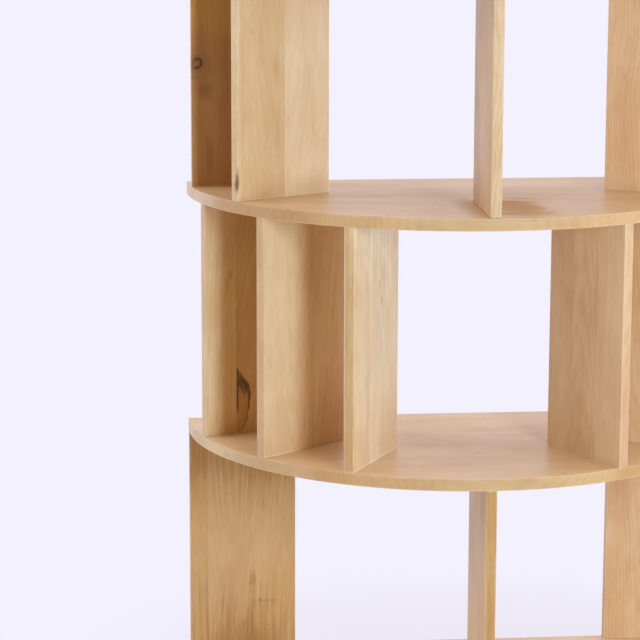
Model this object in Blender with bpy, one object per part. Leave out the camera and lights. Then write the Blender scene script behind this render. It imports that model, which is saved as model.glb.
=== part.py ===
"""Open half-round shelf unit: five half-round shelves held apart by fanned uprights.

Metres, +Z up. The flat back faces +Y, the curved front faces -Y, and the origin is on the
floor under the middle of the unit. Angles go round the half circle as seen from in front:
0 degrees is the right tip, 90 the middle of the front and 180 the left tip.
"""
import math

import bmesh
import bpy
from mathutils import Matrix, Vector

# Shelves
RADIUS = 0.500
SHELF_THICKNESS = 0.021
SHELF_COUNT = 5
SHELF_PITCH = 0.450
ARC_SEGMENTS = 60

# Uprights
UPRIGHT_DEPTH = 0.200
UPRIGHT_THICKNESS = 0.019
FAN_ANGLES = (17.2, 39.6, 61.2)
WING_ANGLE = 31.6
MIDDLE_ANGLE = 90.0
END_INSET_LOW = 0.0
END_INSET_HIGH = 0.060

# Eased edges, and the hair gap left between pieces that touch
ARRIS = 0.0015
ARRIS_SEGMENTS = 2
GAP = 0.0003
SMOOTH_ANGLE = math.radians(40)

# Twin stub tenons on each end of an upright, round-ended to suit routed blind mortises
TENON_WIDTH = 0.060
TENON_THICKNESS = 0.009
TENON_LENGTH = 0.010
TENON_SPACING = 0.090
TENON_END_SEGMENTS = 4

# Floor pads
PAD_RADIUS = 0.012
PAD_HEIGHT = 0.004
PAD_CHAMFER = 0.0008
PAD_SIDES = 16
PAD_ANGLES = (45.0, 90.0, 135.0)
PAD_EDGE_DISTANCE = 0.040
PAD_TIP_DISTANCE = 0.060

# Colours as linear RGB
SHELF_COLOUR = (0.61, 0.42, 0.24)
UPRIGHT_COLOUR = (0.58, 0.38, 0.19)
PAD_COLOUR = (0.10, 0.07, 0.05)
SHELF_TONES = (0.0, 0.03)
UPRIGHT_TONES = (-0.03, 0.0, 0.03)

CENTRE = Vector((0.0, RADIUS / 2, 0.0))
UPRIGHT_HEIGHT = SHELF_PITCH - SHELF_THICKNESS - 2 * GAP


def clear_scene():
    for item in list(bpy.data.objects):
        bpy.data.objects.remove(item, do_unlink=True)


def make_material(name, colour, roughness, tone=0.0):
    """A plain finish; tone lightens or darkens it a little, as boards from one stack differ."""
    material = bpy.data.materials.new(name)
    material.use_nodes = True
    shader = material.node_tree.nodes["Principled BSDF"]
    shader.inputs["Base Color"].default_value = [value * (1 + tone) for value in colour] + [1.0]
    shader.inputs["Roughness"].default_value = roughness
    shader.inputs["Metallic"].default_value = 0.0
    return material


def finish_object(name, bm, material=None):
    """Turns a bmesh into a linked object of its own; a piece has a material, a guide has none."""
    bmesh.ops.recalc_face_normals(bm, faces=bm.faces)
    mesh = bpy.data.meshes.new(name)
    bm.to_mesh(mesh)
    bm.free()
    mesh.shade_smooth()
    mesh.set_sharp_from_angle(angle=SMOOTH_ANGLE)
    item = bpy.data.objects.new(name, mesh)
    bpy.context.collection.objects.link(item)
    if material:
        mesh.materials.append(material)
    return item


def outward(angle):
    """The direction from the middle of the back edge towards the rim at an angle."""
    turn = math.radians(angle)
    return Vector((math.cos(turn), -math.sin(turn), 0.0))


def extrude_outline(bm, outline, height):
    """A closed outline on the plane z = 0, raised into a prism."""
    floor = bm.faces.new([bm.verts.new(point) for point in outline])
    raised = bmesh.ops.extrude_face_region(bm, geom=[floor])["geom"]
    corners = [item for item in raised if isinstance(item, bmesh.types.BMVert)]
    bmesh.ops.translate(bm, vec=(0, 0, height), verts=corners)


def shelf_underside(level):
    """Height of the underside of a shelf; level 0 is the base."""
    return PAD_HEIGHT + GAP + level * SHELF_PITCH


# Where the uprights stand


def mirrored(angles):
    """The same angles on both halves of the unit, in order from the left tip."""
    return sorted({180.0 - angle for angle in angles} | set(angles), reverse=True)


def radial_stations(angles):
    """Uprights that point at the middle of the back edge: (angle, distance in front of it)."""
    return [(angle, 0.0) for angle in mirrored(angles)]


def end_stations(inset):
    """Uprights at the two tips that stand parallel to the wall, inset from the back edge."""
    middle = inset + UPRIGHT_THICKNESS / 2
    return [(180.0, middle), (0.0, middle)]


def tier_stations():
    """The uprights of each tier, counted from the floor."""
    fan = radial_stations(FAN_ANGLES)
    low = radial_stations((MIDDLE_ANGLE,)) + end_stations(END_INSET_LOW)
    wings = radial_stations((WING_ANGLE, MIDDLE_ANGLE)) + end_stations(END_INSET_HIGH)
    return [sorted(tier, reverse=True) for tier in (low, fan, wings, fan)]


def upright_place(station):
    """Middle of an upright on the plan; its outer corners lie on the shelves' curved edge."""
    angle, forward = station
    reach = math.sqrt(RADIUS ** 2 - (forward + UPRIGHT_THICKNESS / 2) ** 2)
    along = outward(angle) * (reach - UPRIGHT_DEPTH / 2)
    return CENTRE + along + Vector((0.0, -forward, 0.0))


# Pieces


def build_shelf(level):
    """A half-round board with its arrises eased; the flat edge is the back."""
    bm = bmesh.new()
    steps = [180.0 * index / ARC_SEGMENTS for index in range(ARC_SEGMENTS + 1)]
    extrude_outline(bm, [outward(angle) * RADIUS for angle in steps], SHELF_THICKNESS)
    name = f"shelf_{level + 1}"
    tone = SHELF_TONES[level % len(SHELF_TONES)]
    shelf = finish_object(name, bm, make_material(name, SHELF_COLOUR, 0.5, tone))
    shelf.location = CENTRE + Vector((0.0, 0.0, shelf_underside(level)))
    eased = shelf.modifiers.new("eased_arrises", "BEVEL")
    eased.width = ARRIS
    eased.segments = ARRIS_SEGMENTS
    eased.limit_method = "ANGLE"
    eased.angle_limit = SMOOTH_ANGLE
    return shelf


def board_on_end():
    """A plain board on end, square at foot and head, its four upright arrises rounded."""
    bm = bmesh.new()
    half_depth = UPRIGHT_DEPTH / 2
    half_thickness = UPRIGHT_THICKNESS / 2
    signs = ((-1, -1), (1, -1), (1, 1), (-1, 1))
    section = bm.faces.new([bm.verts.new((x * half_depth, y * half_thickness, 0)) for x, y in signs])
    bmesh.ops.bevel(bm, geom=section.verts[:], offset=ARRIS, offset_type="OFFSET", affect="VERTICES",
                    segments=ARRIS_SEGMENTS, profile=0.5)
    raised = bmesh.ops.extrude_face_region(bm, geom=bm.faces[:])["geom"]
    corners = [item for item in raised if isinstance(item, bmesh.types.BMVert)]
    bmesh.ops.translate(bm, vec=(0, 0, UPRIGHT_HEIGHT), verts=corners)
    return bm


def tongue_outline(middle, clearance):
    """The plan of one tenon: a slot shape with half-round ends, grown by a clearance."""
    end_radius = TENON_THICKNESS / 2 + clearance
    straight = (TENON_WIDTH - TENON_THICKNESS) / 2
    points = []
    for side in (1, -1):
        for index in range(TENON_END_SEGMENTS + 1):
            turn = math.pi * (index / TENON_END_SEGMENTS - 0.5)
            x = side * (straight + end_radius * math.cos(turn))
            points.append(Vector((middle + x, side * end_radius * math.sin(turn), 0.0)))
    return points


def tongue_prisms(low, high, clearance, places=(Matrix(),)):
    """Pairs of tenon-shaped prisms between two heights, one pair for each place."""
    bm = bmesh.new()
    for place in places:
        for side in (-1, 1):
            outline = tongue_outline(side * TENON_SPACING / 2, clearance)
            before = set(bm.verts)
            extrude_outline(bm, [place @ point for point in outline], high - low)
            made = [vert for vert in bm.verts if vert not in before]
            bmesh.ops.translate(bm, vec=(0, 0, low), verts=made)
    return bm


def joined_mesh(body, addition):
    """The union of two objects as a new mesh; both objects are used up."""
    join = body.modifiers.new("join", "BOOLEAN")
    join.operation = "UNION"
    join.solver = "EXACT"
    join.object = addition
    bpy.context.view_layer.update()
    evaluated = body.evaluated_get(bpy.context.evaluated_depsgraph_get())
    mesh = bpy.data.meshes.new_from_object(evaluated)
    mesh.set_sharp_from_angle(angle=SMOOTH_ANGLE)
    for used in (body, addition):
        bpy.data.objects.remove(used, do_unlink=True)
    return mesh


def tenoned_board():
    """The one shape that all uprights share: a board with twin tenons at foot and head."""
    board = finish_object("board_pattern", board_on_end())
    tongues = tongue_prisms(-TENON_LENGTH, UPRIGHT_HEIGHT + TENON_LENGTH, 0.0)
    return joined_mesh(board, finish_object("tongue_pattern", tongues))


def build_upright(tier, number, station, pattern):
    name = f"upright_{tier + 1}_{number + 1}"
    mesh = pattern.copy()
    mesh.name = name
    tone = UPRIGHT_TONES[(tier + number) % len(UPRIGHT_TONES)]
    mesh.materials.append(make_material(name, UPRIGHT_COLOUR, 0.5, tone))
    upright = bpy.data.objects.new(name, mesh)
    bpy.context.collection.objects.link(upright)
    foot = shelf_underside(tier) + SHELF_THICKNESS + GAP
    upright.location = upright_place(station) + Vector((0.0, 0.0, foot))
    upright.rotation_euler.z = -math.radians(station[0])


def mortise(shelf, name, stations, low, high):
    """Cuts the blind mortises for the tenons of one tier into one face of a shelf."""
    places = []
    for station in stations:
        turn = Matrix.Rotation(-math.radians(station[0]), 4, "Z")
        places.append(Matrix.Translation(upright_place(station)) @ turn)
    cutter = finish_object(name, tongue_prisms(low, high, GAP, places))
    cutter.hide_render = True
    cutter.display_type = "WIRE"
    cut = shelf.modifiers.new(name, "BOOLEAN")
    cut.operation = "DIFFERENCE"
    cut.solver = "EXACT"
    cut.object = cutter


def build_pad(number, place):
    """A round pad under the base, with its lower rim chamfered."""
    bm = bmesh.new()
    bmesh.ops.create_cone(bm, cap_ends=True, segments=PAD_SIDES, radius1=PAD_RADIUS,
                          radius2=PAD_RADIUS, depth=PAD_HEIGHT,
                          matrix=Matrix.Translation((0, 0, PAD_HEIGHT / 2)))
    rim = [edge for edge in bm.edges if all(vert.co.z < GAP for vert in edge.verts)]
    bmesh.ops.bevel(bm, geom=rim, offset=PAD_CHAMFER, affect="EDGES", segments=1)
    name = f"floor_pad_{number + 1}"
    pad = finish_object(name, bm, make_material(name, PAD_COLOUR, 0.9))
    pad.location = place


def pad_places():
    """One pad near each tip and three behind the curved edge."""
    ring = RADIUS - PAD_EDGE_DISTANCE
    across = RADIUS - PAD_TIP_DISTANCE
    tips = [CENTRE + Vector((side * across, -PAD_EDGE_DISTANCE, 0.0)) for side in (-1, 1)]
    return tips + [CENTRE + outward(angle) * ring for angle in PAD_ANGLES]


def build_unit():
    shelves = [build_shelf(level) for level in range(SHELF_COUNT)]
    pattern = tenoned_board()
    depth = TENON_LENGTH + GAP
    for tier, stations in enumerate(tier_stations()):
        for number, station in enumerate(stations):
            build_upright(tier, number, station, pattern)
        top = shelf_underside(tier) + SHELF_THICKNESS
        mortise(shelves[tier], f"foot_mortises_{tier + 1}", stations, top - depth, top + GAP)
        soffit = shelf_underside(tier + 1)
        mortise(shelves[tier + 1], f"head_mortises_{tier + 1}", stations, soffit - GAP, soffit + depth)
    for number, place in enumerate(pad_places()):
        build_pad(number, place)


clear_scene()
build_unit()
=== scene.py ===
"""Looks of the half-round shelf unit: satin-lacquered pale wood boards on felt pads, in a pale studio."""
import math

import bmesh
import bpy
from mathutils import Matrix, Vector


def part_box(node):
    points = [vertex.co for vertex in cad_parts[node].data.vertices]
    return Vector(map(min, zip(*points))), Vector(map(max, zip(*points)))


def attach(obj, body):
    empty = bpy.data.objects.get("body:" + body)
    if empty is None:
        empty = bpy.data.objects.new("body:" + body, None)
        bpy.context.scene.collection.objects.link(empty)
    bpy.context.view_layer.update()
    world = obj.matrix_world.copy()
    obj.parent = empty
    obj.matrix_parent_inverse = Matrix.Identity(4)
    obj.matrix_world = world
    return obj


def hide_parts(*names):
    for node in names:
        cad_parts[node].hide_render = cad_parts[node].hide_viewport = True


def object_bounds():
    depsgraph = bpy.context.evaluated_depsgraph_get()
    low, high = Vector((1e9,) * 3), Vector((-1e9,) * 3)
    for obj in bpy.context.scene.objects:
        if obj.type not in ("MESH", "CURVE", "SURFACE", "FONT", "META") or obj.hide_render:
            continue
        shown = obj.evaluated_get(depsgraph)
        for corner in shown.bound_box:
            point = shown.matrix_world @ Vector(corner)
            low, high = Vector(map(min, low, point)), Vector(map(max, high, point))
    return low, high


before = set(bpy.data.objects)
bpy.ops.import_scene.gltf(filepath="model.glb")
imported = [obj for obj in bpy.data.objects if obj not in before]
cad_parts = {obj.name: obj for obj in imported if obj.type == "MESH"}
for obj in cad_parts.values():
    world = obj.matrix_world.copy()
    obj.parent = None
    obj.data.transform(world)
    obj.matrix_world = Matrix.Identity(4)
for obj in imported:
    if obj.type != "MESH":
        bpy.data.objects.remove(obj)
cad_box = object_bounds()

# Pieces and sizes worked out from the frame, in metres
UNIT_LOW, UNIT_HIGH = Vector(cad_box[0]), Vector(cad_box[1])
BACK = UNIT_HIGH.y
RADIUS = BACK - UNIT_LOW.y
SHELVES = sorted(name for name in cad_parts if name.startswith("shelf_"))
UPRIGHTS = sorted(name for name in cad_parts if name.startswith("upright_"))
PADS = sorted(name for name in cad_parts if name.startswith("floor_pad_"))
SHELF_LOW, SHELF_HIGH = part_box(SHELVES[0])
SHELF_THICKNESS = SHELF_HIGH.z - SHELF_LOW.z

# The gap at a joint, the rounding of edges, and how finely curves are cut
JOINT_GAP = 0.0003
ARRIS = 0.0015
PAD_ARRIS = 0.0008
ARRIS_STEPS = 4
RIM_STEPS = 180
PAD_STEPS = 48
SMOOTH_ANGLE = math.radians(40)
SHARP_ANGLE = math.radians(20)

# Camera, from the photograph's vanishing points and edges
IMAGE_SIDE = 640
FOCAL_PIXELS = 2534.5
OPTICAL_CENTRE = (321.2, 320.0)
SENSOR_WIDTH = 36.0
CAMERA_PLACE = Vector((-0.6688, -4.4089, 1.5713))
CAMERA_YAW = 0.0898
CAMERA_PITCH = -0.1925
CAMERA_ROLL = 0.002
CAMERA_REACH = 200


def tier_heights(tier):
    """Heights of the foot and the head of a tier's boards, which stand between two shelves."""
    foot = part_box(SHELVES[tier - 1])[1].z + JOINT_GAP
    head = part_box(SHELVES[tier])[0].z - JOINT_GAP
    return foot, head


def board_half():
    """Half sizes of every upright, from one that stands parallel to the wall."""
    low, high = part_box("upright_1_1")
    foot, head = tier_heights(1)
    return Vector(((high.x - low.x) / 2, (high.y - low.y) / 2, (head - foot) / 2))


BOARD_HALF = board_half()


class Graph:
    """Adds nodes to one shader tree and links them."""

    def __init__(self, tree):
        self.tree = tree

    def node(self, kind, inputs=None, **settings):
        node = self.tree.nodes.new(kind)
        for name, value in settings.items():
            setattr(node, name, value)
        for key, value in (inputs or {}).items():
            self.put(node.inputs[key], value)
        return node

    def put(self, socket, value):
        if isinstance(value, bpy.types.NodeSocket):
            self.tree.links.new(value, socket)
        else:
            socket.default_value = value

    def math(self, operation, *values, clamp=False):
        node = self.node("ShaderNodeMath", operation=operation, use_clamp=clamp)
        for socket, value in zip(node.inputs, values):
            self.put(socket, value)
        return node.outputs[0]

    def chain(self, operation, values):
        """One operation between all the values, from the first to the last."""
        result = values[0]
        for value in values[1:]:
            result = self.math(operation, result, value)
        return result

    def total(self, *values):
        return self.chain("ADD", values)

    def product(self, *values):
        return self.chain("MULTIPLY", values)

    def largest(self, *values):
        return self.chain("MAXIMUM", values)

    def vector(self, operation, *values):
        node = self.node("ShaderNodeVectorMath", operation=operation)
        for socket, value in zip(node.inputs, values):
            self.put(socket, value)
        return node.outputs["Value" if operation == "LENGTH" else "Vector"]

    def split(self, vector):
        return self.node("ShaderNodeSeparateXYZ", {0: vector}).outputs

    def join(self, x, y, z):
        return self.node("ShaderNodeCombineXYZ", {0: x, 1: y, 2: z}).outputs[0]

    def length(self, x, y, z=0.0):
        return self.vector("LENGTH", self.join(x, y, z))

    def noise(self, vector, scale=1.0, detail=2.0, roughness=0.5):
        settings = {"Vector": vector, "Scale": scale, "Detail": detail, "Roughness": roughness}
        return self.node("ShaderNodeTexNoise", settings).outputs["Fac"]

    def grain_noise(self, place, across, along, detail):
        """Noise with some cycles per metre across and through a board, and others along it."""
        return self.noise(self.vector("MULTIPLY", place, (across, across, along)), detail=detail)

    def ramp(self, value, low, high, to_low=0.0, to_high=1.0):
        settings = {0: value, 1: low, 2: high, 3: to_low, 4: to_high}
        return self.node("ShaderNodeMapRange", settings, interpolation_type="SMOOTHSTEP").outputs[0]

    def mix(self, factor, first, second, blend="MIX"):
        node = self.node("ShaderNodeMix", data_type="RGBA", blend_type=blend, clamp_factor=True)
        for key, value in ((0, factor), (6, first), (7, second)):
            self.put(node.inputs[key], value)
        return node.outputs[2]

    def centred(self, value, amount):
        """Turns a 0 to 1 pattern into one from -amount to +amount."""
        return self.math("MULTIPLY_ADD", value, 2 * amount, -amount)


def new_material(name):
    material = bpy.data.materials.new(name)
    material.use_nodes = True
    material.node_tree.nodes.clear()
    return material, Graph(material.node_tree)


def add_surface(graph, shader):
    graph.node("ShaderNodeOutputMaterial", {"Surface": shader})


def opaque(tone):
    return (*tone, 1)


# Wood

PALE = (0.735, 0.555, 0.345, 1)
DEEP = (0.560, 0.350, 0.155, 1)
ROSY = (0.640, 0.405, 0.240, 1)
# Pale colour of wear and of painted highlight at the arrises, and of patches of painted light
PALE_WEAR_AND_LIGHT = (0.860, 0.720, 0.520, 1)
GLUE = (0.960, 0.840, 0.620, 1)
HONEY = (0.520, 0.290, 0.060, 1)
AMBER = (0.820, 0.710, 0.520, 1)
BROWN = (0.400, 0.215, 0.085, 1)
RUSSET = (0.520, 0.270, 0.120, 1)
# Colour of the painted shadow beside the foot of upright_3_3 on shelf_3
SHADOW_UMBER = (0.380, 0.250, 0.200, 1)
STRAW = (0.950, 0.750, 0.270, 1)
KNOT_DARK = (0.110, 0.036, 0.008, 1)
KNOT_RED = (0.280, 0.120, 0.040, 1)
KNOT_BROWN = (0.240, 0.095, 0.028, 1)

# Patterns of the grain: cycles per metre across and along, the detail of the noise and its share in the
# tone. Lines are scaled by a look's lined. The unbent patterns don't follow the grain round a knot.
PATTERNS = {
    "fibres": {"noise": (1300.0, 26.0, 1.0), "share": 0.24},
    "streaks": {"noise": (230.0, 4.6, 2.0), "share": 0.28, "line": True},
    "bands": {"noise": (34.0, 1.7, 1.0), "share": 0.26, "line": True},
    "flecks": {"noise": (420.0, 38.0, 1.0), "share": 0.18},
    "clouds": {"noise": (14.0, 6.0, 2.0), "share": 0.44, "unbent": True},
    "mottle": {"noise": (55.0, 26.0, 2.5), "share": 0.30, "unbent": True},
}
STAVE_SHARE = 0.12
MEAN_TONE = 0.40

# Other noises, given like those of the patterns
DRIFT_NOISE = (7.0, 3.2, 1.5)
SWAY_NOISE = (30.0, 11.0, 1.0)
HEART_NOISE = (5.0, 1.6, 2.0)
PORE_NOISE = (750.0, 60.0, 0.0)
ROSY_NOISE = (7.0, 2.4, 1.0)
WEAR_AND_HIGHLIGHT_NOISE = (120.0, 30.0, 2.0)
KNOT_NOISE = (260.0, 120.0, 2.0)
HALF_KNOT_NOISE = (210.0, 60.0, 2.0)

# How far the grain wanders aside in long and in short waves
DRIFT = 0.020
SWAY = 0.0022
# Each stave has grain of its own: the pattern shifted by up to this distance
STAVE_SHIFT = 7.0

# Rings run round a heart line behind each stave, which lies a little aside and askew
RING_SPACING = 0.0052
RING_SHARE = 0.055
HEART_ASIDE = 0.030
HEART_DEPTH = 0.018
HEART_DEPTH_RANGE = 0.06
HEART_SLOPE = 0.10
HEART_WOBBLE = 0.02

PORE_RANGE = (0.66, 0.78)
PORE_SHARE = 0.30
ROSY_RANGE = (0.45, 0.75)
ROSY_SHARE = 0.45

# Distances from a knot's middle, in the knot's own half sizes
KNOT_EDGE = (0.80, 1.04)
KNOT_UNEVEN = 0.45
KNOT_HALO = (0.8, 2.6)
KNOT_HALO_SHARE = 0.45
KNOT_PUSH_END = 4.5
KNOT_PUSH_STRETCH = 0.35
HOLLOW_EDGE = (0.36, 0.60)
HOLLOW_RING_START = (1.7, 2.2)
HOLLOW_RING_END = (2.3, 3.0)
HOLLOW_RING_SHARE = 0.26
# A hollow knot's dark ring is weaker towards the rim, down to this share
HOLLOW_SIDE = (0.1, 0.9)
HOLLOW_SIDE_SHARE = 0.40

# A half knot in its own half sizes: its pointed top, its bowed foot and the line round it
POINT_SLOPE, POINT_WIDTH = -1.6, 1.72
BOW_TOP, BOW_LENGTH = 0.1, 1.1
BOW_BLEND = 0.25
HALF_KNOT_UNEVEN = 0.16
HALF_KNOT_EDGE = (0.90, 1.04)
LINE_START, LINE_END = (0.84, 0.93), (0.97, 1.06)
LINE_FADE, LINE_SHARES = (-1.0, 0.2), (0.60, 0.9)
# Its dark strokes lean with its sides. The slash fills its point, and the spine runs along the joint.
STROKE_CYCLES, STROKE_LEAN, STROKE_SEED = 8.0, 1.6, 3.7
STROKE_DETAIL, STROKE_ROUGHNESS, STROKE_BEND = 3.0, 0.65, 0.4
SLASH_EDGE, SLASH_FOOT, SLASH_TOP = (0.34, 0.54), (0.08, 0.30), (0.60, 0.95)
SLASH_TOP_SHARE = 0.55
SPINE_EDGE, SPINE_FOOT = (0.10, 0.24), (-0.45, -0.20)
STROKE_RANGE, STROKE_SHARES = (0.02, 0.16), (0.95, 0.60)

# Distances from the middle of a stain or of a patch of painted light or shade, in its own half sizes, and
# how ragged the grain makes them
STAIN_OR_SHADE_END = 1.2
# A painted shadow takes the lacquer's sheen away between these distances
SHADOW_DULL_EDGE = (0.70, 1.10)
STREAK_RAGGED, MOTTLE_RAGGED = 0.9, 0.5

# Pale wear and painted highlight at the arrises end between these distances from an arris. A noise within
# WEAR_AND_HIGHLIGHT_RANGE gives them WEAR_AND_HIGHLIGHT_SHARES.
WEAR_AND_HIGHLIGHT_BAND = (0.0004, 0.0030)
WEAR_AND_HIGHLIGHT_RANGE, WEAR_AND_HIGHLIGHT_SHARES = (0.30, 0.65), (0.18, 0.68)
# An end's own tone begins between these depths below it
END_DEPTHS = (0.0009, 0.0003)

# Lacquer: sheen, what adds to its roughness, and what stands up or lies low in it
PLAIN_SHEEN = 0.5
PORE_ROUGHNESS, CLOUD_ROUGHNESS, WORN_ROUGHNESS = 0.12, 0.08, 0.10
PORE_HEIGHT, FIBRE_HEIGHT, STREAK_HEIGHT = -0.6, 0.35, 0.25


def arris_distance(graph, *depths):
    """The two smallest of three depths below faces, added up: about the distance to the nearest arris."""
    return graph.math("SUBTRACT", graph.total(*depths), graph.largest(*depths))


def board_arrises(graph, place):
    """Distance to the nearest arris of a board, whose local origin is its own middle."""
    depths = graph.vector("SUBTRACT", tuple(BOARD_HALF), graph.vector("ABSOLUTE", place))
    return arris_distance(graph, *graph.split(depths))


def shelf_arrises(graph, place):
    """Distance to the nearest arris of a shelf, whose local origin is the circle's middle."""
    x, y, z = graph.split(place)
    from_rim = graph.math("SUBTRACT", RADIUS, graph.length(x, y))
    from_back = graph.product(y, -1.0)
    from_face = graph.math("SUBTRACT", SHELF_THICKNESS / 2, graph.math("ABSOLUTE", z))
    return arris_distance(graph, from_rim, from_back, from_face)


def end_part(graph, distance, end):
    """1 at the distance where an end or a rim lies, and 0 a little below it."""
    deep, shallow = END_DEPTHS
    return graph.ramp(distance, end - deep, end - shallow)


def end_face(graph, place):
    """1 on a board's outer end."""
    return end_part(graph, graph.split(place)[0], BOARD_HALF.x)


def curved_face(graph, place):
    """1 on a shelf's curved edge."""
    x, y, z = graph.split(place)
    return end_part(graph, graph.length(x, y), RADIUS)


def stave_lot(graph, across, joints, seed):
    """Three random numbers for each stave, and how far its grain is shifted."""
    stave = 0.0
    for place in joints:
        stave = graph.total(stave, graph.math("GREATER_THAN", across, place))
    random = graph.node("ShaderNodeTexWhiteNoise", {"W": graph.total(stave, seed)},
                        noise_dimensions="1D").outputs
    return graph.split(random["Color"]), graph.product(random["Value"], STAVE_SHIFT)


def stave_slope(graph, across, joints, slopes):
    """How far the grain of each stave leans."""
    lean = slopes[0]
    for place, before, after in zip(joints, slopes, slopes[1:]):
        step = graph.product(graph.math("GREATER_THAN", across, place), after - before)
        lean = graph.total(lean, step)
    return lean


def stave_tone(graph, across, joints, tones, fades):
    """Colour multiplier that changes at each glued joint, and softly at each fade."""
    colour = opaque(tones[0])
    for place, tone in zip(joints, tones[1:]):
        colour = graph.mix(graph.math("GREATER_THAN", across, place), colour, opaque(tone))
    for place, width, tone in fades:
        faded = graph.ramp(across, place - width / 2, place + width / 2)
        colour = graph.mix(faded, colour, opaque(tone))
    return colour


def ring_wave(graph, bent, through, along, plain, lot):
    """The rings that a board's faces cut through, as a wave from -1 to 1."""
    aside = graph.total(bent, graph.centred(lot[0], HEART_ASIDE))
    depth = graph.total(through, graph.math("MULTIPLY_ADD", lot[1], HEART_DEPTH_RANGE, HEART_DEPTH),
                        graph.product(along, graph.centred(lot[2], HEART_SLOPE)),
                        graph.centred(graph.grain_noise(plain, *HEART_NOISE), HEART_WOBBLE))
    return graph.math("SINE", graph.product(graph.length(aside, depth), 2 * math.pi / RING_SPACING))


def spot_place(graph, spot, place):
    """Place counted from a spot's middle in its own half sizes, so that its outline lies at 1.

    A spot without a depth goes right through the board.
    """
    across, through, along = place
    x = graph.math("DIVIDE", graph.math("SUBTRACT", across, spot["across"]), spot["width"])
    y = graph.math("DIVIDE", graph.math("SUBTRACT", along, spot["along"]), spot["length"])
    if "depth" not in spot:
        return x, y, 0.0
    z = graph.math("DIVIDE", graph.math("SUBTRACT", through, spot["through"]), spot["depth"])
    return x, y, z


def knot_marks(graph, knot, place, plain):
    """How far a knot pushes the grain aside, and how strong its halo and its core are."""
    x, y, z = spot_place(graph, knot, place)
    beside = graph.length(x, graph.product(y, KNOT_PUSH_STRETCH))
    push = graph.product(graph.math("SIGN", x), graph.ramp(beside, 0.0, KNOT_PUSH_END, knot["width"], 0.0))
    distance = graph.length(x, y, z)
    reach = graph.total(distance, graph.centred(graph.grain_noise(plain, *KNOT_NOISE), KNOT_UNEVEN))
    core = graph.ramp(reach, *KNOT_EDGE, knot["strength"], 0.0)
    halo = graph.ramp(reach, *KNOT_HALO, KNOT_HALO_SHARE * knot["strength"], 0.0)
    if "hollow" in knot:
        heart = graph.ramp(reach, *HOLLOW_EDGE, 1 - knot["hollow"], 1.0)
        towards_rim = graph.math("DIVIDE", x, graph.math("MAXIMUM", distance, 0.1))
        core = graph.product(core, heart, graph.ramp(towards_rim, *HOLLOW_SIDE, 1.0, HOLLOW_SIDE_SHARE))
        ring = graph.product(graph.ramp(reach, *HOLLOW_RING_START, 0.0, HOLLOW_RING_SHARE),
                             graph.ramp(reach, *HOLLOW_RING_END, 1.0, 0.0))
        halo = graph.largest(halo, ring)
    return push, halo, core


def half_knot(graph, figure, across, along, plain):
    """A knot cut by a joint, as the shares of its amber inside and of its dark lines.

    It is pointed above and rounded below, and dark round its outline, in its point and along the joint.
    """
    x = graph.math("DIVIDE", graph.math("SUBTRACT", figure["joint"], across), figure["width"])
    y = graph.math("DIVIDE", graph.math("SUBTRACT", along, figure["along"]), figure["length"])
    uneven = graph.centred(graph.grain_noise(plain, *HALF_KNOT_NOISE), HALF_KNOT_UNEVEN)
    pointed = graph.math("MAXIMUM", graph.math("MULTIPLY_ADD", y, POINT_SLOPE, POINT_WIDTH), 0.0)
    low = graph.math("MINIMUM", graph.math("SUBTRACT", y, BOW_TOP), 0.0)
    low = graph.math("DIVIDE", low, BOW_LENGTH)
    bowed = graph.math("MAXIMUM", graph.math("SUBTRACT", 1.0, graph.product(low, low)), 0.0)
    bowed = graph.math("SQRT", bowed)
    limit = graph.math("MAXIMUM", graph.math("SMOOTH_MIN", pointed, bowed, BOW_BLEND), 0.001)
    reach = graph.total(graph.math("DIVIDE", x, limit), uneven)
    own_side = graph.math("GREATER_THAN", x, 0.0)
    inside = graph.product(own_side, graph.ramp(reach, *HALF_KNOT_EDGE, 1.0, 0.0))
    line = graph.product(graph.ramp(reach, *LINE_START), graph.ramp(reach, *LINE_END, 1.0, 0.0), own_side,
                         graph.ramp(y, *LINE_FADE, *LINE_SHARES))
    under = graph.math("SUBTRACT", limit, x)
    lean = graph.join(graph.product(under, STROKE_CYCLES), graph.product(graph.total(x, y), STROKE_LEAN),
                      STROKE_SEED)
    strokes = graph.centred(graph.noise(lean, detail=STROKE_DETAIL, roughness=STROKE_ROUGHNESS), 0.5)
    deep = graph.math("SUBTRACT", graph.total(under, strokes), graph.product(y, 0.5))
    slash = graph.product(graph.ramp(deep, *SLASH_EDGE, 1.0, 0.0),
                          graph.ramp(graph.total(y, strokes), *SLASH_FOOT),
                          graph.ramp(y, *SLASH_TOP, 1.0, SLASH_TOP_SHARE))
    beside_joint = graph.math("MULTIPLY_ADD", strokes, STROKE_BEND, x)
    spine = graph.product(graph.ramp(beside_joint, *SPINE_EDGE, 1.0, 0.0), graph.ramp(y, *SPINE_FOOT))
    streaked = graph.product(graph.largest(slash, spine), graph.ramp(strokes, *STROKE_RANGE, *STROKE_SHARES))
    return inside, graph.largest(graph.product(streaked, inside), line)


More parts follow.
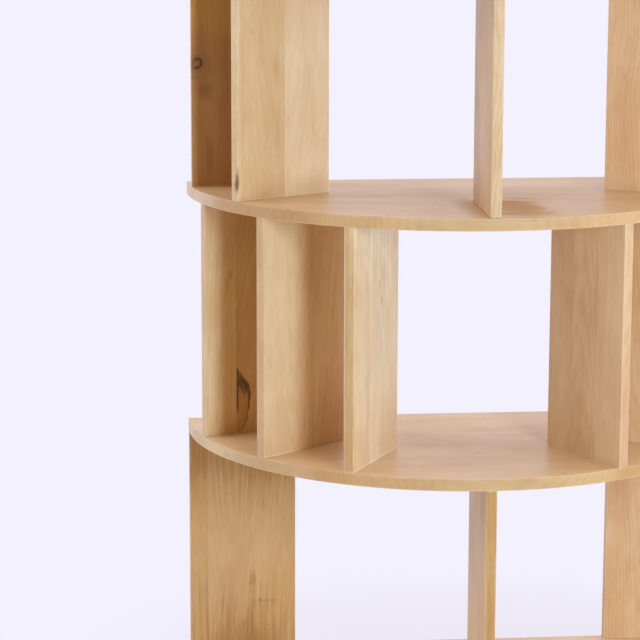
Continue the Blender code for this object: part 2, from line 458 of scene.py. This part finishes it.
def wood(name, seed, axes, to_arris, rim, joints, tones=None, fades=(), slopes=None, other_tone=None,
         rim_tone=(1, 1, 1), rim_fades=(), wear_and_highlight_share=0.8, contrast=1.0, lined=1.0, satin=0.42,
         refraction=1.6, knots=(), stains_and_shading=(), figures=()):
    """Lacquered wood, glued up from staves.

    axes picks the across, through and along coordinates out of the local ones. to_arris gives the distance
    to the nearest arris, and rim is 1 on the end that has tones of its own. The other tones belong to the
    face on the positive side, and other_tone to the opposite one; on faces in view the tones and fades paint
    light and shade in places. lined scales the straight lines of the grain against its mottle.
    """
    material, graph = new_material(name)
    local = graph.node("ShaderNodeTexCoord").outputs["Object"]
    parts = graph.split(local)
    place = tuple(parts["XYZ".index(letter)] for letter in axes)
    across, through, along = place
    tones = tones or [(1, 1, 1)] * (len(joints) + 1)
    slopes = slopes or [0.0] * (len(joints) + 1)
    lot, shift = stave_lot(graph, across, joints, seed)

    # Grain bent by its own wandering and by the knots
    plain = graph.join(graph.total(across, shift), through, along)
    drift = graph.grain_noise(plain, *DRIFT_NOISE)
    sway = graph.grain_noise(plain, *SWAY_NOISE)
    leaning = graph.product(along, stave_slope(graph, across, joints, slopes))
    bent = graph.total(across, leaning, graph.centred(drift, DRIFT), graph.centred(sway, SWAY))
    marks = []
    for knot in knots:
        push, halo, core = knot_marks(graph, knot, place, plain)
        bent = graph.math("SUBTRACT", bent, push)
        marks.append((halo, core, knot.get("colour", KNOT_DARK)))
    grain = graph.join(graph.total(bent, shift), through, along)

    # Tone of the bare wood
    wave = ring_wave(graph, bent, through, along, plain, lot)
    depths = [graph.centred(wave, RING_SHARE * contrast * lined)]
    patterns = {}
    for key, pattern in PATTERNS.items():
        patterns[key] = graph.grain_noise(plain if "unbent" in pattern else grain, *pattern["noise"])
        share = pattern["share"] * contrast * (lined if "line" in pattern else 1)
        depths.append(graph.centred(patterns[key], share))
    pores = graph.ramp(graph.grain_noise(grain, *PORE_NOISE), *PORE_RANGE)
    depths.append(graph.centred(lot[0], STAVE_SHARE * contrast))
    depths.append(graph.product(pores, PORE_SHARE * contrast))
    colour = graph.mix(graph.math("ADD", graph.total(*depths), MEAN_TONE, clamp=True), PALE, DEEP)
    rosy = graph.ramp(graph.grain_noise(plain, *ROSY_NOISE), *ROSY_RANGE, 0.0, ROSY_SHARE)
    colour = graph.mix(rosy, colour, ROSY)

    # Stains and patches of painted light and shade; a painted shadow can take the lacquer's sheen away too
    sheen = PLAIN_SHEEN
    for stain_or_shade in stains_and_shading:
        ragged = graph.total(graph.centred(patterns["streaks"], STREAK_RAGGED),
                             graph.centred(patterns["mottle"], MOTTLE_RAGGED))
        reach = graph.total(graph.length(*spot_place(graph, stain_or_shade, place)), ragged)
        strength = graph.ramp(reach, 0.0, STAIN_OR_SHADE_END, stain_or_shade["strength"], 0.0)
        colour = graph.mix(strength, colour, stain_or_shade.get("colour", BROWN))
        if "dull" in stain_or_shade:
            sheen = graph.product(sheen, graph.ramp(reach, *SHADOW_DULL_EDGE, 1 - stain_or_shade["dull"], 1.0))

    # Tones of the faces and the end, which in places paint light and shade, pale wear and painted highlight
    # at the arrises, and knots over all of it
    tone = stave_tone(graph, across, joints, tones, fades)
    if other_tone:
        tone = graph.mix(graph.ramp(through, -0.9 * FACE, 0.0), opaque(other_tone), tone)
    tone = graph.mix(rim(graph, local), tone, stave_tone(graph, across, (), (rim_tone,), rim_fades))
    colour = graph.mix(1.0, colour, tone, "MULTIPLY")
    shares = [share * wear_and_highlight_share for share in WEAR_AND_HIGHLIGHT_SHARES]
    wear_and_highlight = graph.product(graph.ramp(to_arris(graph, local), *WEAR_AND_HIGHLIGHT_BAND, 1.0, 0.0),
                         graph.ramp(graph.grain_noise(plain, *WEAR_AND_HIGHLIGHT_NOISE), *WEAR_AND_HIGHLIGHT_RANGE, *shares))
    colour = graph.mix(wear_and_highlight, colour, PALE_WEAR_AND_LIGHT)
    for figure in figures:
        inside, dark = half_knot(graph, figure, across, along, plain)
        colour = graph.mix(inside, colour, AMBER, "MULTIPLY")
        colour = graph.mix(dark, colour, KNOT_DARK)
    for halo, core, core_colour in marks:
        colour = graph.mix(halo, colour, KNOT_RED)
        colour = graph.mix(core, colour, core_colour)

    # Lacquer
    roughness = graph.total(satin, graph.product(pores, PORE_ROUGHNESS),
                            graph.centred(patterns["clouds"], CLOUD_ROUGHNESS),
                            graph.product(wear_and_highlight, WORN_ROUGHNESS))
    height = graph.total(graph.product(pores, PORE_HEIGHT), graph.centred(patterns["fibres"], FIBRE_HEIGHT),
                         graph.centred(patterns["streaks"], STREAK_HEIGHT))
    bump = graph.node("ShaderNodeBump", {"Strength": 0.25, "Distance": 0.0002, "Height": height}).outputs[0]
    shader = graph.node("ShaderNodeBsdfPrincipled",
                        {"Base Color": colour, "Roughness": roughness, "IOR": refraction, "Normal": bump,
                         "Specular IOR Level": sheen})
    add_surface(graph, shader.outputs[0])
    return material


# Felt

FELT_DARK = (0.055, 0.040, 0.030, 1)
FELT_LIGHT = (0.150, 0.115, 0.090, 1)
FUZZ_CYCLES = 2600.0
TUFT_CYCLES = 420.0


def felt():
    material, graph = new_material("pad_felt")
    local = graph.node("ShaderNodeTexCoord").outputs["Object"]
    fuzz = graph.noise(local, scale=FUZZ_CYCLES, detail=4.0, roughness=0.7)
    tufts = graph.noise(local, scale=TUFT_CYCLES, detail=3.0)
    tone = graph.math("ADD", graph.centred(fuzz, 0.5), tufts, clamp=True)
    height = graph.total(fuzz, graph.product(tufts, 0.5))
    bump = graph.node("ShaderNodeBump", {"Strength": 0.6, "Distance": 0.0003, "Height": height}).outputs[0]
    shader = graph.node("ShaderNodeBsdfPrincipled",
                        {"Base Color": graph.mix(tone, FELT_DARK, FELT_LIGHT), "Normal": bump,
                         "Roughness": graph.ramp(fuzz, 0.2, 0.8, 0.85, 1.0), "Sheen Weight": 0.3})
    add_surface(graph, shader.outputs[0])
    return material


# Meshes

def mesh_object(name, bm, material):
    mesh = bpy.data.meshes.new(name)
    bm.to_mesh(mesh)
    bm.free()
    mesh.materials.append(material)
    added = bpy.data.objects.new(name, mesh)
    bpy.context.scene.collection.objects.link(added)
    return added


def add_piece(name, bm, material, matrix, node):
    """A piece of the unit, which takes the place of one of the frame's nodes."""
    bmesh.ops.recalc_face_normals(bm, faces=bm.faces)
    piece = mesh_object(name, bm, material)
    piece.matrix_world = matrix
    piece.data.shade_smooth()
    piece.data.set_sharp_from_angle(angle=SMOOTH_ANGLE)
    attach(piece, "root")
    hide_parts(node)


def prism(outline, half_height):
    """A closed solid over an outline that runs round once, with its middle at the height of 0."""
    bm = bmesh.new()
    bottom = [bm.verts.new((x, y, -half_height)) for x, y in outline]
    top = [bm.verts.new((x, y, half_height)) for x, y in outline]
    bm.faces.new(reversed(bottom))
    bm.faces.new(top)
    for k in range(len(outline)):
        n = (k + 1) % len(outline)
        bm.faces.new((bottom[k], bottom[n], top[n], top[k]))
    return bm


def round_edges(bm, edges, width):
    bmesh.ops.bevel(bm, geom=edges, offset=width, segments=ARRIS_STEPS, profile=0.5, affect="EDGES")


def sharp_edges(bm):
    return [e for e in bm.edges if e.calc_face_angle(0) > SHARP_ANGLE]


def build_shelf(node, material):
    """A half disc whose local origin is the middle of its back edge, halfway up its thickness."""
    low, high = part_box(node)
    angles = [math.pi * k / RIM_STEPS for k in range(RIM_STEPS + 1)]
    bm = prism([(-RADIUS * math.cos(a), -RADIUS * math.sin(a)) for a in angles], (high.z - low.z) / 2)
    round_edges(bm, sharp_edges(bm), ARRIS)
    place = Matrix.Translation((0, BACK, (low.z + high.z) / 2))
    add_piece(f"{node}_wood", bm, material, place, node)


def board_direction(node, middle):
    """Unit vector along the board in plan, from its inner end to the rim."""
    spread_x = spread_y = spread_xy = 0.0
    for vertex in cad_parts[node].data.vertices:
        dx, dy = vertex.co.x - middle.x, vertex.co.y - middle.y
        spread_x += dx * dx
        spread_y += dy * dy
        spread_xy += dx * dy
    angle = 0.5 * math.atan2(2 * spread_xy, spread_x - spread_y)
    direction = Vector((math.cos(angle), math.sin(angle), 0))
    from_centre = Vector((middle.x, middle.y - BACK, 0))
    return direction if direction.dot(from_centre) > 0 else -direction


def build_upright(node, material):
    """A board on end. Its local X runs to the rim, and its local origin is its own middle."""
    low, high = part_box(node)
    foot, head = tier_heights(int(node.split("_")[1]))
    middle = Vector(((low.x + high.x) / 2, (low.y + high.y) / 2, (foot + head) / 2))
    half = (head - foot) / 2
    corners = ((1, 1), (-1, 1), (-1, -1), (1, -1))
    bm = prism([(x * BOARD_HALF.x, y * BOARD_HALF.y) for x, y in corners], half)
    upright_edges = [e for e in bm.edges if abs(e.verts[0].co.z - e.verts[1].co.z) > half]
    round_edges(bm, upright_edges, ARRIS)
    direction = board_direction(node, middle)
    upward = Vector((0, 0, 1))
    turn = Matrix((direction, upward.cross(direction), upward)).transposed().to_4x4()
    add_piece(f"{node}_wood", bm, material, Matrix.Translation(middle) @ turn, node)


def build_pad(node, material):
    low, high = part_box(node)
    radius = (high.x - low.x) / 2
    angles = [2 * math.pi * k / PAD_STEPS for k in range(PAD_STEPS)]
    bm = prism([(radius * math.cos(a), radius * math.sin(a)) for a in angles], (high.z - low.z) / 2)
    round_edges(bm, sharp_edges(bm), PAD_ARRIS)
    add_piece(f"{node}_felt", bm, material, Matrix.Translation((low + high) / 2), node)


# Looks of the boards by node: glued joints, a tone for each stave, knots, stains and figure. On boards in
# view some tones and patches paint light and shade, as marked below. Along starts at the board's middle, so
# a place measured from its foot or its head adds FOOT or HEAD.
FOOT = -BOARD_HALF.z
HEAD = BOARD_HALF.z
FACE = BOARD_HALF.y
OTHER_FACE = (1.12, 1.13, 1.15)
UPRIGHT_JOINTS = (-0.035, 0.032)
SPOT_DEPTH = 0.012
# What keeps a stain or a patch of painted light or shade on the face on the positive side
ONE_FACE = {"through": FACE, "depth": SPOT_DEPTH}


def spot(across, along, width, length, strength, **more):
    """A knot, a stain or a patch of painted light or shade: its middle, its half sizes, how much it covers,
    and what more it has.
    """
    return {"across": across, "along": along, "width": width, "length": length, "strength": strength, **more}


UPRIGHT_LOOKS = {
    "upright_1_1": {
        "joints": (0.0655,), "tones": ((1.01, 0.98, 0.83), (0.99, 0.92, 0.72)), "lined": 0.45,
        "knots": (spot(-0.0145, FOOT + 0.128, 0.0014, 0.0020, 0.35),
                  spot(-0.033, FOOT + 0.095, 0.0022, 0.0018, 0.40),
                  spot(-0.049, FOOT + 0.045, 0.0014, 0.0016, 0.40),
                  spot(-0.060, FOOT + 0.045, 0.0012, 0.0014, 0.30)),
        # Painted shade under the shelf above: warmer and darker at the head, and a darker band a little
        # further down
        "stains_and_shading": (spot(0.0, HEAD, 0.400, 0.160, 0.80, colour=HONEY, **ONE_FACE),
                   spot(0.0, HEAD - 0.062, 1.0, 0.040, 0.28, **ONE_FACE),
                   spot(-0.018, FOOT + 0.139, 0.007, 0.016, 0.45),
                   spot(-0.046, FOOT + 0.094, 0.014, 0.006, 0.35),
                   # Darker towards the foot on the face in view
                   spot(-0.010, FOOT + 0.006, 0.020, 0.080, 0.65, **ONE_FACE),
                   spot(0.030, FOOT, 0.016, 0.085, 0.50, **ONE_FACE),
                   spot(-0.010, FOOT - 0.020, 0.160, 0.160, 0.72, **ONE_FACE))},
    "upright_1_2": {
        # Painted light: raised, cooler tones on both faces stand in for pale light and reflection on faces
        # in shade
        "joints": (-0.040, 0.031), "tones": ((1.16, 1.18, 1.22), (1.15, 1.16, 1.19), (1.16, 1.18, 1.21)),
        "rim_tone": (0.83, 0.73, 0.47), "other_tone": (1.18, 1.20, 1.24)},
    "upright_2_1": {
        # Painted shade and light: dark tones for the face in shade, paler towards the outer end where light
        # falls
        "joints": (-0.030, 0.0395), "tones": ((0.86, 0.70, 0.40), (0.85, 0.68, 0.38), (0.96, 0.80, 0.48)),
        "fades": ((0.070, 0.026, (1.12, 1.22, 1.17)),), "slopes": (0.0, 0.22, 0.05),
        "rim_tone": (1.04, 1.10, 1.16),
        "stains_and_shading": (spot(0.050, FOOT + 0.297, 0.005, 0.012, 0.65),
                   spot(0.056, FOOT + 0.280, 0.006, 0.014, 0.35),
                   spot(0.0, FOOT, 1.0, 0.0040, 0.6),
                   spot(0.045, FOOT, 0.060, 0.035, 0.45, **ONE_FACE),
                   # Painted light: paler patches on the lit strip at the outer end
                   spot(0.090, FOOT + 0.125, 0.030, 0.130, 0.28, colour=PALE_WEAR_AND_LIGHT),
                   spot(0.090, FOOT + 0.326, 0.030, 0.060, 0.20, colour=PALE_WEAR_AND_LIGHT)),
        "figures": ({"joint": 0.0395, "along": FOOT + 0.0625, "width": 0.026, "length": 0.060},)},
    "upright_2_2": {
        # Partly painted light and shade: the brighter inner stave and the change of tone at the fade where
        # the shadow edge lies
        "joints": (-0.023,), "tones": ((1.31, 1.32, 1.24), (1.19, 1.17, 1.05)), "slopes": (0.10, 0.0),
        "fades": ((0.012, 0.034, (1.06, 1.18, 1.22)),), "rim_tone": (1.0, 0.98, 0.94), "wear_and_highlight_share": 0.3,
        "lined": 0.55,
        "stains_and_shading": (spot(-0.020, 0.10, 0.030, 0.120, 0.35, colour=RUSSET),
                   # Painted light: a pale stripe at the inner end
                   spot(-0.108, 0.0, 0.050, 2.0, 0.42, colour=PALE_WEAR_AND_LIGHT),
                   spot(0.065, FOOT, 0.060, 0.0050, 0.35, colour=GLUE),
                   spot(-0.040, FOOT, 0.060, 0.0060, 0.45),
                   spot(-0.070, FOOT, 0.085, 0.140, 0.60, **ONE_FACE))},
    "upright_2_3": {
        # Painted light and reflection: pale, cool tones on the face in view
        "joints": (-0.040, 0.030), "tones": ((1.19, 1.43, 1.66), (1.16, 1.42, 1.69), (1.07, 1.20, 1.31)),
        "rim_tone": (0.96, 0.95, 0.84), "lined": 0.5,
        "knots": (spot(-0.0236, FOOT + 0.2825, 0.0011, 0.0055, 0.60),
                  spot(-0.0150, FOOT + 0.3125, 0.0011, 0.0075, 0.40)),
        "stains_and_shading": (spot(0.0, FOOT, 1.0, 0.0050, 0.32, colour=GLUE),
                   spot(-0.060, FOOT + 0.020, 0.075, 0.110, 0.46, colour=RUSSET, **ONE_FACE),
                   # Painted light at the head of the face in view, under the shelf above
                   spot(0.0, HEAD, 0.300, 0.095, 0.58, colour=PALE_WEAR_AND_LIGHT, **ONE_FACE),
                   spot(0.100, FOOT + 0.040, 0.008, 0.160, 0.30, colour=HONEY),
                   spot(0.060, FOOT + 0.105, 0.036, 0.090, 0.24, colour=PALE_WEAR_AND_LIGHT))},
    "upright_3_1": {
        # Painted shade: dark tones for a face in shadow, with painted light in the paler fade at its outer
        # edge
        "joints": (0.052,), "tones": ((0.62, 0.42, 0.18), (0.63, 0.42, 0.18)),
        "fades": ((0.090, 0.012, (0.82, 0.63, 0.34)),),
        "knots": (spot(0.0890, 0.0103, 0.0104, 0.0114, 0.97, hollow=0.85),),
        "stains_and_shading": (spot(0.0890, 0.0103, 0.0080, 0.0080, 0.45, colour=PALE),
                   spot(0.075, -0.038, 0.020, 0.018, 0.50),
                   spot(0.066, -0.160, 0.010, 0.045, 0.50),
                   spot(0.036, 0.0, 0.014, 2.0, 0.35, colour=RUSSET),
                   spot(0.050, 0.120, 0.200, 0.095, 0.55, colour=STRAW, **ONE_FACE))},
    "upright_3_2": {
        "joints": (-0.002,), "tones": ((1.13, 1.35, 1.54), (0.99, 1.05, 1.02)),
        "fades": ((0.093, 0.008, (1.08, 1.25, 1.32)),), "rim_tone": (1.10, 1.20, 1.22), "lined": 0.45,
        "knots": (spot(0.0998, FOOT + 0.038, 0.0024, 0.0120, 0.85, through=FACE - 0.0018, depth=0.0030,
                       colour=KNOT_BROWN),
                  spot(0.1000, FOOT + 0.0285, 0.0020, 0.0080, 0.85, through=FACE - 0.0035, depth=0.0048,
                       colour=KNOT_BROWN),
                  spot(0.0680, FOOT + 0.293, 0.0018, 0.0035, 0.16)),
        "stains_and_shading": (spot(0.0155, FOOT + 0.235, 0.009, 0.034, 0.40, colour=RUSSET),
                   spot(0.0125, FOOT + 0.115, 0.006, 0.045, 0.30, colour=RUSSET),
                   spot(0.0400, FOOT + 0.010, 0.024, 0.024, 0.35, colour=RUSSET),
                   spot(-0.060, FOOT + 0.012, 0.050, 0.030, 0.40, colour=RUSSET),
                   spot(-0.060, 0.135, 0.090, 0.100, 0.30, colour=RUSSET, **ONE_FACE))},
    "upright_3_3": {
        "rim_tone": (1.02, 1.14, 1.23), "other_tone": (1.0, 1.0, 1.0), "wear_and_highlight_share": 0.35,
        "stains_and_shading": (spot(0.0, FOOT, 1.0, 0.0026, 1.0),)},
}

# Looks of the two shelves in view: tones along the curved edge from the front towards the back, which paint
# the light and shade that change round the curve, a pin knot, stains, and patches of painted light and
# shadow. Across is 0 at the shelf's back edge and -RADIUS at its front.
SHELF_LOOKS = {
    "shelf_2": {
        "rim_tone": (0.86, 0.86, 0.71),
        "rim_fades": ((-0.482, 0.020, (0.95, 0.92, 0.74)), (-0.442, 0.020, (0.90, 0.78, 0.56)),
                      (-0.400, 0.030, (0.96, 0.94, 0.86)), (-0.262, 0.040, (1.08, 1.14, 1.10)),
                      (-0.120, 0.060, (0.98, 0.97, 1.00))),
        "knots": (spot(-0.314, 0.0054, 0.0022, 0.0040, 0.45),),
        # Painted light: a paler patch on the top
        "stains_and_shading": (spot(-0.270, -0.140, 0.120, 0.070, 0.24, colour=PALE_WEAR_AND_LIGHT),)},
    "shelf_3": {
        "rim_tone": (0.92, 0.94, 0.85),
        "rim_fades": ((-0.478, 0.020, (0.95, 0.93, 0.79)), (-0.404, 0.040, (0.83, 0.73, 0.54)),
                      (-0.200, 0.060, (0.98, 1.04, 1.22))),
        # Painted shadow of upright_3_3: a dark patch without sheen on the +X side of its foot, a redder one
        # behind it, and less sheen on the other side of its foot
        "stains_and_shading": (spot(-0.382, 0.058, 0.122, 0.070, 0.46, through=SHELF_THICKNESS / 2, depth=SPOT_DEPTH,
                        dull=1.0, colour=SHADOW_UMBER),
                   spot(-0.370, -0.022, 0.120, 0.024, 0.10, dull=0.95),
                   spot(-0.225, 0.070, 0.100, 0.080, 0.45, colour=RUSSET))},
}
PLAIN_RIM = {"rim_tone": (0.92, 0.90, 0.78), "rim_fades": ((-0.250, 0.100, (0.96, 0.94, 0.88)),)}
SHELF_TONE = (1.12, 1.14, 1.18)
SHELF_STAVES = 9
STAVE_WIDTH = 0.055
STAVE_VARIATION = 0.012
STAVE_PHASE = 3.1

# Seeds of the random numbers: that of the first piece, and the step to the next one
SHELF_SEED, SHELF_SEED_STEP = 11.0, 17
UPRIGHT_SEED, UPRIGHT_SEED_STEP = 101.0, 13


def shelf_joints(index):
    """Places of a shelf's glued joints, from the front to the back."""
    return sorted(-STAVE_WIDTH * k - STAVE_VARIATION * math.sin(STAVE_PHASE * k + index)
                  for k in range(1, SHELF_STAVES))


for index, node in enumerate(SHELVES):
    look = wood(f"{node}_wood", SHELF_SEED + SHELF_SEED_STEP * index, "YZX", shelf_arrises, curved_face,
                shelf_joints(index), tones=[SHELF_TONE] * SHELF_STAVES, wear_and_highlight_share=0.4, contrast=0.8,
                satin=0.40, refraction=1.8, **SHELF_LOOKS.get(node, PLAIN_RIM))
    build_shelf(node, look)

for index, node in enumerate(UPRIGHTS):
    settings = {"joints": UPRIGHT_JOINTS, "other_tone": OTHER_FACE, **UPRIGHT_LOOKS.get(node, {})}
    look = wood(f"{node}_wood", UPRIGHT_SEED + UPRIGHT_SEED_STEP * index, "XYZ", board_arrises, end_face,
                **settings)
    build_upright(node, look)

pad_look = felt()
for node in PADS:
    build_pad(node, pad_look)


# Stage

BACKDROP_COLOUR = (0.896, 0.880, 0.991, 1)
FLOOR_COLOUR = (0.55, 0.55, 0.56, 1)
FLOOR_HALF_SIDE = 60
# The floor turns from shaded paper into backdrop between these distances from the middle of the unit
FLOOR_NEAR, FLOOR_FAR = 0.4, 0.90
FLOOR_SHADE = 0.16
# Reflections turn to the backdrop between these values of Y: a place on the floor, or a direction's part
FLOOR_BEHIND = (-0.5, 1.5)
WORLD_BEHIND = (-0.2, 0.3)
STUDIO_LIGHT = {"left": (0.28, 0.27, 0.30), "right": (1.28, 1.25, 1.38), "front": (0.10, 0.08, 0.06),
                "back": (0.98, 0.96, 1.07), "above": (1.00, 0.80, 0.57)}
LAMP_TARGET = Vector((0, 0, 0.9))
LAMPS = {
    "key": {"azimuth": 15, "height": 1.35, "distance": 3.2, "size": (0.75, 1.8), "power": 61.0,
            "colour": (0.93, 0.93, 1.0)},
    "side": {"azimuth": -97, "height": 1.9, "distance": 2.8, "size": (1.6, 1.6), "power": 33.0,
             "colour": (0.92, 0.90, 1.0)},
}


def seen_rays(graph, behind):
    """1 for what the camera sees, and for reflections and see-through only behind the object."""
    rays = graph.node("ShaderNodeLightPath").outputs
    indirect = graph.largest(rays["Is Glossy Ray"], rays["Is Transmission Ray"])
    return graph.largest(rays["Is Camera Ray"], graph.product(indirect, behind))


def build_floor():
    """Pale paper: it keeps the object's shadow near its foot and turns into even backdrop further off."""
    material, graph = new_material("studio_floor")
    diffuse = graph.node("ShaderNodeBsdfDiffuse", {"Color": FLOOR_COLOUR}).outputs[0]
    bright = graph.node("ShaderNodeEmission", {"Color": BACKDROP_COLOUR, "Strength": 1.0}).outputs[0]
    place = graph.node("ShaderNodeTexCoord").outputs["Object"]
    away = graph.ramp(graph.vector("LENGTH", place), FLOOR_NEAR, FLOOR_FAR, 1 - FLOOR_SHADE, 1.0)
    behind = graph.ramp(graph.split(place)[1], *FLOOR_BEHIND)
    factor = graph.product(seen_rays(graph, behind), away)
    add_surface(graph, graph.node("ShaderNodeMixShader", {0: factor, 1: diffuse, 2: bright}).outputs[0])
    bm = bmesh.new()
    bmesh.ops.create_grid(bm, x_segments=4, y_segments=4, size=FLOOR_HALF_SIDE)
    floor = mesh_object("studio_floor", bm, material)
    floor.location.z = UNIT_LOW.z


def build_world():
    """Light that differs by direction: the square of each part of a direction weighs that side's colour."""
    world = bpy.data.worlds.new("studio")
    bpy.context.scene.world = world
    world.use_nodes = True
    world.node_tree.nodes.clear()
    graph = Graph(world.node_tree)
    x, y, z = graph.split(graph.node("ShaderNodeTexCoord").outputs["Generated"])
    light = (0.0, 0.0, 0.0)
    for part, low, high in ((x, "left", "right"), (y, "front", "back"), (z, "above", "above")):
        positive = graph.math("GREATER_THAN", part, 0.0)
        side = graph.mix(positive, opaque(STUDIO_LIGHT[low]), opaque(STUDIO_LIGHT[high]))
        square = graph.product(part, part)
        share = graph.vector("MULTIPLY", side, graph.join(square, square, square))
        light = graph.vector("ADD", light, share)
    lit = graph.node("ShaderNodeBackground", {"Color": light, "Strength": 1.0}).outputs[0]
    shown = graph.node("ShaderNodeBackground", {"Color": BACKDROP_COLOUR, "Strength": 1.0}).outputs[0]
    seen = seen_rays(graph, graph.ramp(y, *WORLD_BEHIND))
    mixed = graph.node("ShaderNodeMixShader", {0: seen, 1: lit, 2: shown}).outputs[0]
    graph.node("ShaderNodeOutputWorld", {"Surface": mixed})


def add_lamp(name, azimuth, height, distance, size, power, colour):
    """A softbox at an azimuth measured from straight in front towards +X. Reflections don't show it."""
    data = bpy.data.lights.new(name, "AREA")
    data.shape = "RECTANGLE"
    data.size, data.size_y = size
    data.energy = power
    data.color = colour
    lamp = bpy.data.objects.new(name, data)
    lamp.visible_camera = False
    lamp.visible_glossy = False
    bpy.context.scene.collection.objects.link(lamp)
    a = math.radians(azimuth)
    place = Vector((LAMP_TARGET.x + distance * math.sin(a), LAMP_TARGET.y - distance * math.cos(a), height))
    towards = (LAMP_TARGET - place).normalized()
    turn = towards.to_track_quat("-Z", "Y").to_matrix().to_4x4()
    lamp.matrix_world = Matrix.Translation(place) @ turn


def build_camera():
    data = bpy.data.cameras.new("camera")
    camera = bpy.data.objects.new("camera", data)
    bpy.context.scene.collection.objects.link(camera)
    data.sensor_width = SENSOR_WIDTH
    data.lens = FOCAL_PIXELS * SENSOR_WIDTH / IMAGE_SIDE
    data.shift_x = (IMAGE_SIDE / 2 - OPTICAL_CENTRE[0]) / IMAGE_SIDE
    data.shift_y = (OPTICAL_CENTRE[1] - IMAGE_SIDE / 2) / IMAGE_SIDE
    data.clip_end = CAMERA_REACH
    forward = Vector((math.sin(CAMERA_YAW) * math.cos(CAMERA_PITCH),
                      math.cos(CAMERA_YAW) * math.cos(CAMERA_PITCH), math.sin(CAMERA_PITCH)))
    right = Vector((math.cos(CAMERA_YAW), -math.sin(CAMERA_YAW), 0))
    up = right.cross(forward)
    rolled_right = right * math.cos(CAMERA_ROLL) + up * math.sin(CAMERA_ROLL)
    rolled_up = up * math.cos(CAMERA_ROLL) - right * math.sin(CAMERA_ROLL)
    turn = Matrix((rolled_right, rolled_up, -forward)).transposed().to_4x4()
    camera.matrix_world = Matrix.Translation(CAMERA_PLACE) @ turn
    bpy.context.scene.camera = camera


build_floor()
build_world()
for name, lamp in LAMPS.items():
    add_lamp(name, **lamp)
build_camera()
bpy.context.scene.view_settings.view_transform = "Standard"
